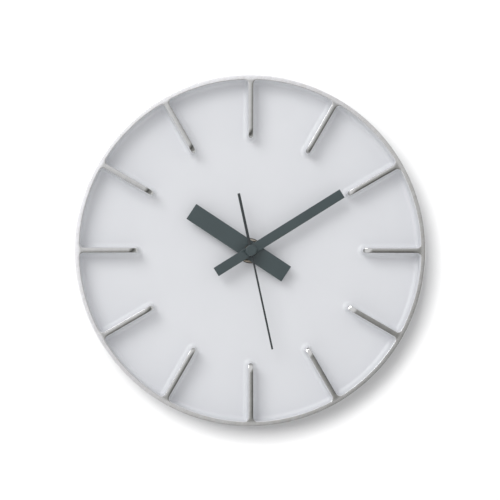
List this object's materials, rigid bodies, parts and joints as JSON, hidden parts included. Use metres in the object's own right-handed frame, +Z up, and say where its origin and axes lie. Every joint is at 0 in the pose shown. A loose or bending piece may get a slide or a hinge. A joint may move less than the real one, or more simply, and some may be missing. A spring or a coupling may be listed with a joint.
{
  "type": "wall clock",
  "caption": "Round battery wall clock: cast metal case with raised hour ribs, flat bar hands, a quartz movement behind the dial and a keyhole hanger.",
  "frame": {"origin": "centre of the keyhole's entry hole, in the plane of the wall", "axes": "+Z up towards twelve o'clock, +Y into the wall, so the dial faces -Y and +X points to three o'clock"},
  "size_m": [0.18, 0.0482, 0.18],
  "materials": {
    "case_cast": "white stoved paint on the dial and sides, with the rim and rib tops left as polished metal",
    "plated_steel": "bright zinc plate",
    "arbor_steel": "ground",
    "gasket_rubber": "matt",
    "brass": "turned",
    "hand_paint": "matt dark green-grey paint",
    "movement_plastic": "fine moulded texture",
    "plate_plastic": "moulded",
    "gear_plastic": "acetal, moulded",
    "knob_plastic": "moulded",
    "cell_jacket": "printed sleeve without lettering",
    "board": "solder mask over glass-epoxy laminate",
    "chip_resin": "cast resin blob",
    "crystal_can": "nickel-plated can",
    "bobbin_plastic": "moulded",
    "copper": "enamelled copper wire",
    "lamination": "soft-iron sheet",
    "magnet": "bonded magnet"
  },
  "bodies": {
    "clock_case": {"case": "case_cast", "hanger_plate": "plated_steel", "hanger_screws": "plated_steel", "dial_gasket": "gasket_rubber", "dial_washer": "brass", "dial_nut": "brass", "threaded_bush": "brass", "movement_case": "movement_plastic", "middle_plate": "plate_plastic", "rear_cover": "movement_plastic", "battery": "cell_jacket", "positive_contact": "plated_steel", "negative_contact": "plated_steel", "circuit_board": "board", "driver_chip": "chip_resin", "quartz_crystal": "crystal_can", "coil_bobbin": "bobbin_plastic", "coil_winding": "copper", "coil_core": "lamination", "stator": "lamination"},
    "minute_group": {"centre_wheel": "gear_plastic", "minute_tube": "arbor_steel", "minute_hand": "hand_paint", "minute_hand_bush": "brass"},
    "hour_group": {"hour_wheel": "gear_plastic", "hour_hand": "hand_paint", "hour_hand_bush": "brass"},
    "second_group": {"seconds_wheel": "gear_plastic", "seconds_arbor": "arbor_steel", "second_hand": "hand_paint", "second_hand_cap": "hand_paint"},
    "third_group": {"third_wheel": "gear_plastic"},
    "motion_group": {"minute_wheel": "gear_plastic"},
    "setting_group": {"setting_shaft": "knob_plastic", "setting_gear": "gear_plastic", "setting_knob": "knob_plastic"},
    "intermediate_group": {"intermediate_wheel": "gear_plastic"},
    "rotor_group": {"rotor_magnet": "magnet", "rotor_pinion": "gear_plastic"}
  },
  "joints": [
    {"name": "minute_hand_turn", "type": "hinge", "parent": "clock_case", "child": "minute_group", "pos_m": [0, -0.043, -0.058], "axis": [0, 1, 0], "continuous": true},
    {"name": "hour_hand_turn", "type": "hinge", "parent": "clock_case", "child": "hour_group", "pos_m": [0, -0.041, -0.058], "axis": [0, 1, 0], "continuous": true},
    {"name": "second_hand_turn", "type": "hinge", "parent": "clock_case", "child": "second_group", "pos_m": [0, -0.045, -0.058], "axis": [0, 1, 0], "continuous": true},
    {"name": "third_wheel_turn", "type": "hinge", "parent": "clock_case", "child": "third_group", "pos_m": [0.00885, -0.025, -0.05181], "axis": [0, 1, 0], "continuous": true},
    {"name": "motion_wheel_turn", "type": "hinge", "parent": "clock_case", "child": "motion_group", "pos_m": [-0.00827, -0.029, -0.05106], "axis": [0, 1, 0], "continuous": true},
    {"name": "setting_knob_turn", "type": "hinge", "parent": "clock_case", "child": "setting_group", "pos_m": [-0.02024, -0.017, -0.04895], "axis": [0, 1, 0], "continuous": true},
    {"name": "intermediate_wheel_turn", "type": "hinge", "parent": "clock_case", "child": "intermediate_group", "pos_m": [-0.00737, -0.022, -0.06316], "axis": [0, 1, 0], "continuous": true},
    {"name": "rotor_turn", "type": "hinge", "parent": "clock_case", "child": "rotor_group", "pos_m": [-0.01564, -0.023, -0.0617], "axis": [0, 1, 0], "continuous": true}
  ],
  "couplings": [
    {"joint": "hour_hand_turn", "follows": "minute_hand_turn", "ratio": 0.083333},
    {"joint": "second_hand_turn", "follows": "minute_hand_turn", "ratio": 60},
    {"joint": "third_wheel_turn", "follows": "minute_hand_turn", "ratio": -8},
    {"joint": "motion_wheel_turn", "follows": "minute_hand_turn", "ratio": -0.33333},
    {"joint": "setting_knob_turn", "follows": "minute_hand_turn", "ratio": 0.66667},
    {"joint": "intermediate_wheel_turn", "follows": "minute_hand_turn", "ratio": -300},
    {"joint": "rotor_turn", "follows": "minute_hand_turn", "ratio": 1800}
  ]
}
